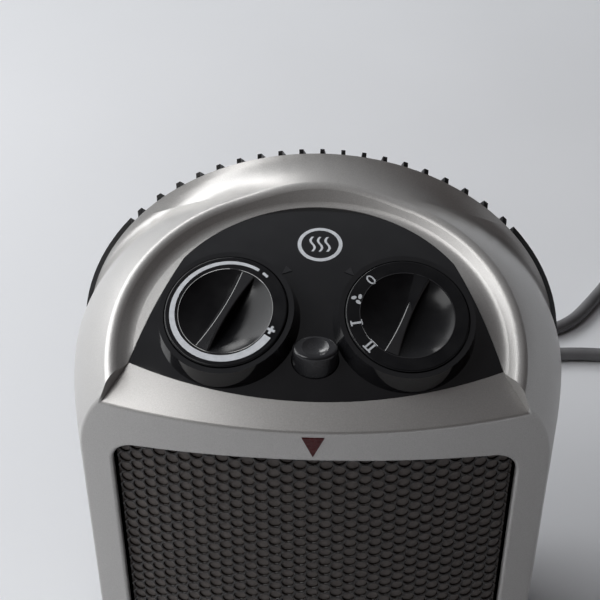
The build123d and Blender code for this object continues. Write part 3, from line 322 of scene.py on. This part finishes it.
for made, names in dressing.items():
    for name in names:
        nodes[name].data.materials.clear()
        nodes[name].data.materials.append(made)
mains_cord.data.materials.append(cord_grey)


# Mesh pieces
def piece(name, verts, faces, made, body):
    """New mesh piece, its points in millimetres, riding on a body."""
    mesh = bpy.data.meshes.new(name)
    mesh.from_pydata([Vector(v) * MM for v in verts], [], faces)
    mesh.validate()
    mesh.materials.append(made)
    made_piece = bpy.data.objects.new(name, mesh)
    scene.collection.objects.link(made_piece)
    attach(made_piece, body)
    return made_piece


def plate(name, shapes, place, low, high, made, body):
    """Thin closed plate from flat polygons, set by place(u, v, height), with no wall on a shared edge."""
    keys, verts, faces, sides = {}, [], [], {}

    def vertex(u, v):
        key = (round(u, 4), round(v, 4))
        if key not in keys:
            keys[key] = len(verts)
            verts.append(place(u, v, high))
            verts.append(place(u, v, low))
        return keys[key]

    for shape in shapes:
        ring = [vertex(u, v) for u, v in shape]
        faces.append(ring)
        faces.append([index + 1 for index in reversed(ring)])
        for first, second in zip(ring, ring[1:] + ring[:1]):
            sides[(first, second)] = True
    for first, second in sides:
        if (second, first) not in sides:
            faces.append([second, first, first + 1, second + 1])
    return piece(name, verts, faces, made, body)


# Flat shapes
def ring_quads(rings):
    """Quads between neighbouring pairs of an inner and an outer point."""
    return [[a[0], a[1], b[1], b[0]] for a, b in zip(rings, rings[1:])]


def band(inner, outer, start, stop, count):
    """Quads of an arc band; inner and outer give the radius at each share of the way."""
    rings = []
    for index in range(count + 1):
        share = index / count
        angle = radians(start + (stop - start) * share)
        near, far = inner(share), outer(share)
        rings.append(((near * cos(angle), near * sin(angle)), (far * cos(angle), far * sin(angle))))
    return ring_quads(rings)


def ellipse_band(half_u, half_v, stroke, count):
    """Quads of an oval ring."""
    rings = []
    for index in range(count + 1):
        angle = 2 * pi * index / count
        c, s = cos(angle), sin(angle)
        rings.append((((half_u - stroke) * c, (half_v - stroke) * s), (half_u * c, half_v * s)))
    return ring_quads(rings)


def oblong(u, v, width, height):
    """Rectangle about a point."""
    return [
        (u - width / 2, v - height / 2), (u + width / 2, v - height / 2),
        (u + width / 2, v + height / 2), (u - width / 2, v + height / 2),
    ]


def turned(shapes, angle, radius):
    """Moves flat shapes drawn upright to a radius and angle of a dial, tops outwards."""
    a = radians(angle)
    moved = []
    for shape in shapes:
        moved.append([
            ((radius + v) * cos(a) + u * sin(a), (radius + v) * sin(a) - u * cos(a)) for u, v in shape
        ])
    return moved


# Places on the control deck
deck_centre_y = front_y + deck_radius * sin(radians(deck_slope))
deck_centre_z = crease_z - deck_radius * cos(radians(deck_slope))
deck_axis_z = deck_centre_z + deck_radius - deck_cross_radius


def deck_frame(x, y):
    """Point, normal and two directions along the control deck at plan position x, y."""
    rise = sqrt(deck_radius**2 - (y - deck_centre_y) ** 2)
    turn_radius = deck_centre_z + rise - deck_axis_z
    roll = asin(x / turn_radius)
    up = rise / deck_radius
    normal = Vector((up * sin(roll), (y - deck_centre_y) / deck_radius, up * cos(roll)))
    along = Vector((normal.z, 0, -normal.x)).normalized()
    return Vector((x, y, deck_axis_z + turn_radius * cos(roll))), normal, along, normal.cross(along)


def on_dial(x):
    """Placer for marks on the top of the dial at x."""
    origin, normal, along, across = deck_frame(x, knob_y)

    def place(u, v, height):
        return origin + along * u + across * v + normal * (knob_top + height)

    return place


def on_deck(x, y):
    """Placer for marks on the control panel around x, y."""

    def place(u, v, height):
        point, normal, _, _ = deck_frame(x + u, y + v)
        return point + normal * height

    return place


thermostat_place = on_dial(-knob_x)
selector_place = on_dial(knob_x)

# Rounded tops on the dials' grips
GRIP_STEPS = 30
GRIP_REACH = 15.5
GRIP_RING = [                   # side, how far outside the grip's edge, height over its top
    (-1, 0.04, -0.7), (-1, 0.04, -0.18), (-1, -0.08, 0.04), (-1, -0.3, 0.16), (-1, -0.6, 0.19),
    (1, -0.6, 0.19), (1, -0.3, 0.16), (1, -0.08, 0.04), (1, 0.04, -0.18), (1, 0.04, -0.7),
]


def grip_top(name, place, angle, body):
    """Closed strip along a dial's grip, drawn in at the waist as the grip is."""
    c, s, count = cos(radians(angle)), sin(radians(angle)), len(GRIP_RING)
    verts, faces = [], []
    for step in range(GRIP_STEPS + 1):
        v = GRIP_REACH * (2 * step / GRIP_STEPS - 1)
        half = (grip_width + (grip_end_width - grip_width) * (v / dish_radius) ** 2) / 2
        for side, out, height in GRIP_RING:
            u = side * (half + out)
            verts.append(place(u * c - v * s, u * s + v * c, height - grip_sink))
    for step in range(GRIP_STEPS):
        for corner in range(count):
            after = (corner + 1) % count
            first, second = step * count, (step + 1) * count
            faces.append([first + corner, first + after, second + after, second + corner])
    faces.append(list(reversed(range(count))))
    faces.append([GRIP_STEPS * count + corner for corner in range(count)])
    piece(name, verts, faces, grip_gloss, body)


# Rounded edges on the dials' bowls
BEAD_RADIUS = 0.22
BEAD_DROP = 0.12
BEAD_STEPS = 96
BEAD_SIDES = 8


def dish_edge(name, place, body):
    """Rounded edge of a dial's bowl: a closed ring."""
    verts, faces = [], []
    for step in range(BEAD_STEPS):
        turn = 2 * pi * step / BEAD_STEPS
        for corner in range(BEAD_SIDES):
            lean = 2 * pi * corner / BEAD_SIDES
            radius = dish_radius + BEAD_RADIUS * cos(lean)
            verts.append(place(radius * cos(turn), radius * sin(turn), BEAD_RADIUS * sin(lean) - BEAD_DROP))
    for step in range(BEAD_STEPS):
        for corner in range(BEAD_SIDES):
            after = (corner + 1) % BEAD_SIDES
            first, second = step * BEAD_SIDES, (step + 1) % BEAD_STEPS * BEAD_SIDES
            faces.append([first + corner, second + corner, second + after, first + after])
    piece(name, verts, faces, grip_gloss, body)


dish_edge("thermostat_edge", thermostat_place, "thermostat_dial")
dish_edge("selector_edge", selector_place, "selector_dial")
grip_top("thermostat_grip", thermostat_place, thermostat_grip_angle, "thermostat_dial")
grip_top("selector_grip", selector_place, selector_grip_angle, "selector_dial")

# Printed marks, in millimetres and in degrees round the dial
INK = 0.06
INK_SINK = 0.02


def printed(name, shapes, place, body):
    """White mark, its foot a little under the face that carries it."""
    plate(name, shapes, place, -INK_SINK, INK, print_white, body)


# Thermostat: an arc that widens from minus to plus
ARC_INNER = 18.0
ARC_OUTER = 19.0
ARC_GROWTH = 1.7
ARC_START = 53
ARC_STOP = 324
ARC_STEPS = 90
SIGN_STROKE = 0.9
MINUS_LENGTH = 2.3
MINUS_ANGLE = 44
MINUS_RADIUS = 18.5
PLUS_LENGTH = 3.0
PLUS_ANGLE = 332
PLUS_RADIUS = 17.4

arc = band(lambda t: ARC_INNER - ARC_GROWTH * t, lambda t: ARC_OUTER, ARC_START, ARC_STOP, ARC_STEPS)
printed("thermostat_arc", arc, thermostat_place, "thermostat_dial")
minus = [oblong(0, 0, MINUS_LENGTH, SIGN_STROKE)]
printed("thermostat_minus", turned(minus, MINUS_ANGLE, MINUS_RADIUS), thermostat_place, "thermostat_dial")
plus_arm = (PLUS_LENGTH - SIGN_STROKE) / 2
plus_arm_v = (SIGN_STROKE + plus_arm) / 2
plus = [
    oblong(0, 0, PLUS_LENGTH, SIGN_STROKE),
    oblong(0, plus_arm_v, SIGN_STROKE, plus_arm),
    oblong(0, -plus_arm_v, SIGN_STROKE, plus_arm),
]
printed("thermostat_plus", turned(plus, PLUS_ANGLE, PLUS_RADIUS), thermostat_place, "thermostat_dial")

# Selector: 0, fan, I and II
MARK_RADIUS = 17.6
ZERO_ANGLE = 137
FAN_ANGLE = 166
ONE_ANGLE = 196
TWO_ANGLE = 227
ZERO_HALF_WIDTH = 1.25
ZERO_HALF_HEIGHT = 1.9
ZERO_STROKE = 0.55
ZERO_STEPS = 32
FAN_BLADES = 3
FAN_LEAN = 90                   # the first blade points outwards
PETAL_POINTS = 14
PETAL_MIDDLE = 1.25
PETAL_HALF_LENGTH = 0.85
PETAL_HALF_WIDTH = 0.72
PETAL_SKEW = 0.28
STEM_HEIGHT = 3.0
SERIF_HEIGHT = 0.5
ONE_STEM = 0.75
ONE_SERIF = 2.0
TWO_STEM = 0.7
TWO_STEM_U = 0.8
TWO_SERIF = 3.4


def fan_blade(blade):
    """Skewed oval petal of the fan mark."""
    lean = radians(360 / FAN_BLADES * blade + FAN_LEAN)
    petal = []
    for index in range(PETAL_POINTS):
        t = 2 * pi * index / PETAL_POINTS
        reach = PETAL_MIDDLE + PETAL_HALF_LENGTH * cos(t)
        side = PETAL_HALF_WIDTH * sin(t) + PETAL_SKEW * cos(t)
        petal.append((reach * cos(lean) - side * sin(lean), reach * sin(lean) + side * cos(lean)))
    return petal


def numeral(stems, stem_width, serif_width):
    """Roman numeral: a bar over and under its stems."""
    serif_v = (STEM_HEIGHT + SERIF_HEIGHT) / 2
    upright = [oblong(u, 0, stem_width, STEM_HEIGHT) for u in stems]
    over = oblong(0, serif_v, serif_width, SERIF_HEIGHT)
    under = oblong(0, -serif_v, serif_width, SERIF_HEIGHT)
    return [over, *upright, under]


selector_marks = [
    ("selector_zero", ellipse_band(ZERO_HALF_WIDTH, ZERO_HALF_HEIGHT, ZERO_STROKE, ZERO_STEPS), ZERO_ANGLE),
    ("selector_fan", [fan_blade(blade) for blade in range(FAN_BLADES)], FAN_ANGLE),
    ("selector_one", numeral([0], ONE_STEM, ONE_SERIF), ONE_ANGLE),
    ("selector_two", numeral([-TWO_STEM_U, TWO_STEM_U], TWO_STEM, TWO_SERIF), TWO_ANGLE),
]
for name, shapes, angle in selector_marks:
    printed(name, turned(shapes, angle, MARK_RADIUS), selector_place, "selector_dial")

# Panel: a ring with three heat waves
RING_X = 0.3
RING_Y = -4.5
RING_INNER = 6.5
RING_OUTER = 7.8
RING_STEPS = 96
WAVE_LANES = (-2.6, 0, 2.6)
WAVE_STEPS = 24
WAVE_HALF_HEIGHT = 3.4
WAVE_SWING = 0.75
WAVE_HALF_STROKE = 0.42

ring_place = on_deck(RING_X, RING_Y)
panel_ring = band(lambda t: RING_INNER, lambda t: RING_OUTER, 0, 360, RING_STEPS)
printed("panel_ring", panel_ring, ring_place, "housing")
waves = []
for lane in WAVE_LANES:
    edges = []
    for index in range(WAVE_STEPS + 1):
        u = lane + WAVE_SWING * sin(2 * pi * index / WAVE_STEPS)
        v = -WAVE_HALF_HEIGHT + 2 * WAVE_HALF_HEIGHT * index / WAVE_STEPS
        edges.append(((u - WAVE_HALF_STROKE, v), (u + WAVE_HALF_STROKE, v)))
    waves += ring_quads(edges)
printed("panel_heat_waves", waves, ring_place, "housing")

# Panel: a small raised index beside each dial
INDEX_TIP = 24.4
INDEX_LENGTH = 3.4
INDEX_HALF_WIDTH = 1.5
INDEX_SINK = 0.05
INDEX_RISE = 0.25
for name, side, angle in (("thermostat_index", -1, 45), ("selector_index", 1, 135)):
    c, s = cos(radians(angle)), sin(radians(angle))
    foot = INDEX_TIP + INDEX_LENGTH
    shape = [
        (INDEX_TIP * c, INDEX_TIP * s),
        (foot * c + INDEX_HALF_WIDTH * s, foot * s - INDEX_HALF_WIDTH * c),
        (foot * c - INDEX_HALF_WIDTH * s, foot * s + INDEX_HALF_WIDTH * c),
    ]
    place = on_deck(side * knob_x, knob_y)
    plate(name, [shape], place, -INDEX_SINK, INDEX_RISE, key_grey, "housing")


# Fine honeycomb in place of the grille's coarse solid
CELL = 5.14
COLUMN = CELL * sqrt(3) / 2
CORNERS = 12                    # points round each cell, two to a side of its hexagon
COMB_DEPTH = 0.7
COMB_FOOT_Z = 57.0
COMB_SIDE_COLUMNS = 17
COMB_ROWS = 30
COMB_OVERLAP = 1.0              # how far a cell's middle may lie outside the opening
BORE_SHARE = 0.90               # of a cell's width
BORE = BORE_SHARE * CELL / 2
BORE_LEVELS = [(BORE, 0.12), (BORE - 0.10, 0.35), (BORE - 0.14, COMB_DEPTH)]   # radius and depth
grille_radius = front_radius - wall - fit_gap
grille_axis_y = front_y + front_radius


def outlet_distance(x, z):
    """How far a point of the outlet's plane is outside the opening, negative inside."""
    top = outlet_top_z - outlet_top_drop * (x / outlet_half_width) ** 2
    middle, half = (top + outlet_bottom_z) / 2, (top - outlet_bottom_z) / 2
    u, v = abs(x) - outlet_half_width + outlet_corner, abs(z - middle) - half + outlet_corner
    return hypot(max(u, 0), max(v, 0)) + min(max(u, v), 0) - outlet_corner


def bowed(s, z, depth):
    """Point on the bowed grille at arc length s and height z, so far behind its front."""
    angle = s / grille_radius
    radius = grille_radius - depth
    return Vector((radius * sin(angle), grille_axis_y - radius * cos(angle), z))


comb_verts, comb_faces, comb_keys, comb_sides = [], [], {}, {}


def comb_corner(s, z):
    """Shared corner of neighbouring cells: index of its front point, with its back point next."""
    key = (round(s, 2), round(z, 2))
    if key not in comb_keys:
        comb_keys[key] = len(comb_verts)
        comb_verts.append(bowed(s, z, 0))
        comb_verts.append(bowed(s, z, COMB_DEPTH))
    return comb_keys[key]


def comb_cell(s, z):
    """One cell of the honeycomb: its face, its rounded bore and its back."""
    outer, loops = [], [[] for _ in BORE_LEVELS]
    for corner in range(CORNERS):
        angle = 2 * pi * corner / CORNERS
        reach = CELL / sqrt(3) if corner % 2 == 0 else CELL / 2
        outer.append(comb_corner(s + reach * cos(angle), z + reach * sin(angle)))
        for loop, (radius, depth) in zip(loops, BORE_LEVELS):
            loop.append(len(comb_verts))
            comb_verts.append(bowed(s + radius * cos(angle), z + radius * sin(angle), depth))
    for corner in range(CORNERS):
        after = (corner + 1) % CORNERS
        comb_faces.append([outer[corner], outer[after], loops[0][after], loops[0][corner]])
        for upper, lower in zip(loops, loops[1:]):
            comb_faces.append([upper[corner], upper[after], lower[after], lower[corner]])
        comb_faces.append([loops[-1][corner], loops[-1][after], outer[after] + 1, outer[corner] + 1])
        comb_sides[(outer[corner], outer[after])] = True


for column in range(-COMB_SIDE_COLUMNS, COMB_SIDE_COLUMNS + 1):
    for row in range(COMB_ROWS):
        s, z = column * COLUMN, COMB_FOOT_Z + CELL * (row + 0.5 * (column % 2))
        if outlet_distance(s, z) <= COMB_OVERLAP:
            comb_cell(s, z)
for first, second in comb_sides:
    if (second, first) not in comb_sides:
        comb_faces.append([second, first, first + 1, second + 1])
honeycomb = piece("honeycomb_grille", comb_verts, comb_faces, grille_dark, "housing")
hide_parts("outlet_grille")


# Gauze behind the honeycomb
GAUZE_DEPTH = 0.75
GAUZE_SKIN = 0.2
GAUZE_CELL = 2.0
GAUZE_SIDE_COLUMNS = 36
GAUZE_ROWS = 72
GAUZE_OVERLAP = 2.0


def on_grille(s, z, height):
    """Placer for the gauze behind the honeycomb."""
    return bowed(s, z, GAUZE_DEPTH + GAUZE_SKIN - height)


gauze = []
for column in range(-GAUZE_SIDE_COLUMNS, GAUZE_SIDE_COLUMNS):
    for row in range(GAUZE_ROWS):
        cell = oblong(
            GAUZE_CELL * (column + 0.5), outlet_bottom_z + GAUZE_CELL * row, GAUZE_CELL, GAUZE_CELL,
        )
        if all(outlet_distance(s, z) < GAUZE_OVERLAP for s, z in cell):
            gauze.append(cell)
plate("outlet_gauze", gauze, on_grille, 0, GAUZE_SKIN, gauze_grey, "housing")


# Floor, in metres: past the lit part it shows as a pale backdrop
FLOOR_HALF = 40.0
FLOOR_Z = -0.0002
BACKDROP_START = 0.45
BACKDROP_FULL = 1.05
BACKDROP_COLOUR = (0.64, 0.66, 0.69, 1)

floor_paint = surface("floor_paint", (0.66, 0.67, 0.69), (0.71, 0.72, 0.74), (0.5, 0.7), mottle=3)
ground = floor_paint.node_tree


def arithmetic(operation, first, second):
    """Value of two node outputs put together on the floor's tree."""
    node = ground.nodes.new("ShaderNodeMath")
    node.operation = operation
    ground.links.new(first, node.inputs[0])
    ground.links.new(second, node.inputs[1])
    return node.outputs["Value"]


def stage_plane(name, half, z, made):
    """Square floor sheet."""
    corners = [(-half, -half, z), (half, -half, z), (half, half, z), (-half, half, z)]
    mesh = bpy.data.meshes.new(name)
    mesh.from_pydata(corners, [], [[0, 1, 2, 3]])
    mesh.materials.append(made)
    sheet = bpy.data.objects.new(name, mesh)
    scene.collection.objects.link(sheet)


away = ground.nodes.new("ShaderNodeVectorMath")
away.operation = "LENGTH"
ground.links.new(ground.nodes.new("ShaderNodeNewGeometry").outputs["Position"], away.inputs[0])
far_share = spread(ground, away.outputs["Value"], 0.0, 1.0, BACKDROP_START, BACKDROP_FULL)
rays = ground.nodes.new("ShaderNodeLightPath").outputs
seen = arithmetic("MAXIMUM", rays["Is Camera Ray"], rays["Is Glossy Ray"])
seen = arithmetic("MAXIMUM", seen, rays["Is Transmission Ray"])
backdrop = ground.nodes.new("ShaderNodeEmission")
backdrop.inputs["Color"].default_value = BACKDROP_COLOUR
joined = ground.nodes.new("ShaderNodeMixShader")
ground.links.new(arithmetic("MULTIPLY", far_share, seen), joined.inputs["Fac"])
ground.links.new(ground.nodes["Principled BSDF"].outputs["BSDF"], joined.inputs[1])
ground.links.new(backdrop.outputs["Emission"], joined.inputs[2])
ground.links.new(joined.outputs["Shader"], ground.nodes["Material Output"].inputs["Surface"])
stage_plane("floor", FLOOR_HALF, FLOOR_Z, floor_paint)


# Lamps, in metres and watts
def lamp(name, place, aim, size, power, tint=(1, 1, 1)):
    """Rectangular area lamp turned towards a point."""
    data = bpy.data.lights.new(name, "AREA")
    data.shape = "RECTANGLE"
    data.size, data.size_y = size
    data.energy = power
    data.color = tint
    made_lamp = bpy.data.objects.new(name, data)
    made_lamp.location = place
    made_lamp.rotation_mode = "QUATERNION"
    made_lamp.rotation_quaternion = (Vector(aim) - Vector(place)).to_track_quat("-Z", "Y")
    scene.collection.objects.link(made_lamp)


lamp("window_left", (-1.40, 0.50, 0.95), (0, 0, 0.15), (2.0, 1.5), 35.0, (0.98, 0.99, 1.0))
lamp("window_high", (-0.85, -0.50, 1.40), (0, 0, 0.2), (0.6, 0.6), 6.0)
lamp("soft_back", (-0.55, 1.3, 1.0), (0, 0, 0.15), (0.5, 0.35), 4.0)


# World: a dim warm room, brighter and cooler towards the window
WINDOW_SIDE = (-0.70, 0.70, 0.14)
ROOM_COLOUR = (0.08, 0.045, 0.04)
WINDOW_COLOUR = (0.86, 0.88, 0.93)
ROOM_END = -0.6
WINDOW_END = 0.7
SKY_STRENGTH = 0.28

world = bpy.data.worlds.new("world")
world.use_nodes = True
sky = world.node_tree
facing = sky.nodes.new("ShaderNodeVectorMath")
facing.operation = "DOT_PRODUCT"
facing.inputs[1].default_value = WINDOW_SIDE
sky.links.new(sky.nodes.new("ShaderNodeTexCoord").outputs["Generated"], facing.inputs[0])
bright_side = spread(sky, facing.outputs["Value"], 0.0, 1.0, ROOM_END, WINDOW_END)
sky_colour = two_tone(sky, bright_side, ROOM_COLOUR, WINDOW_COLOUR)
sky.links.new(sky_colour, sky.nodes["Background"].inputs["Color"])
sky.nodes["Background"].inputs["Strength"].default_value = SKY_STRENGTH
scene.world = world
scene.view_settings.view_transform = "Standard"
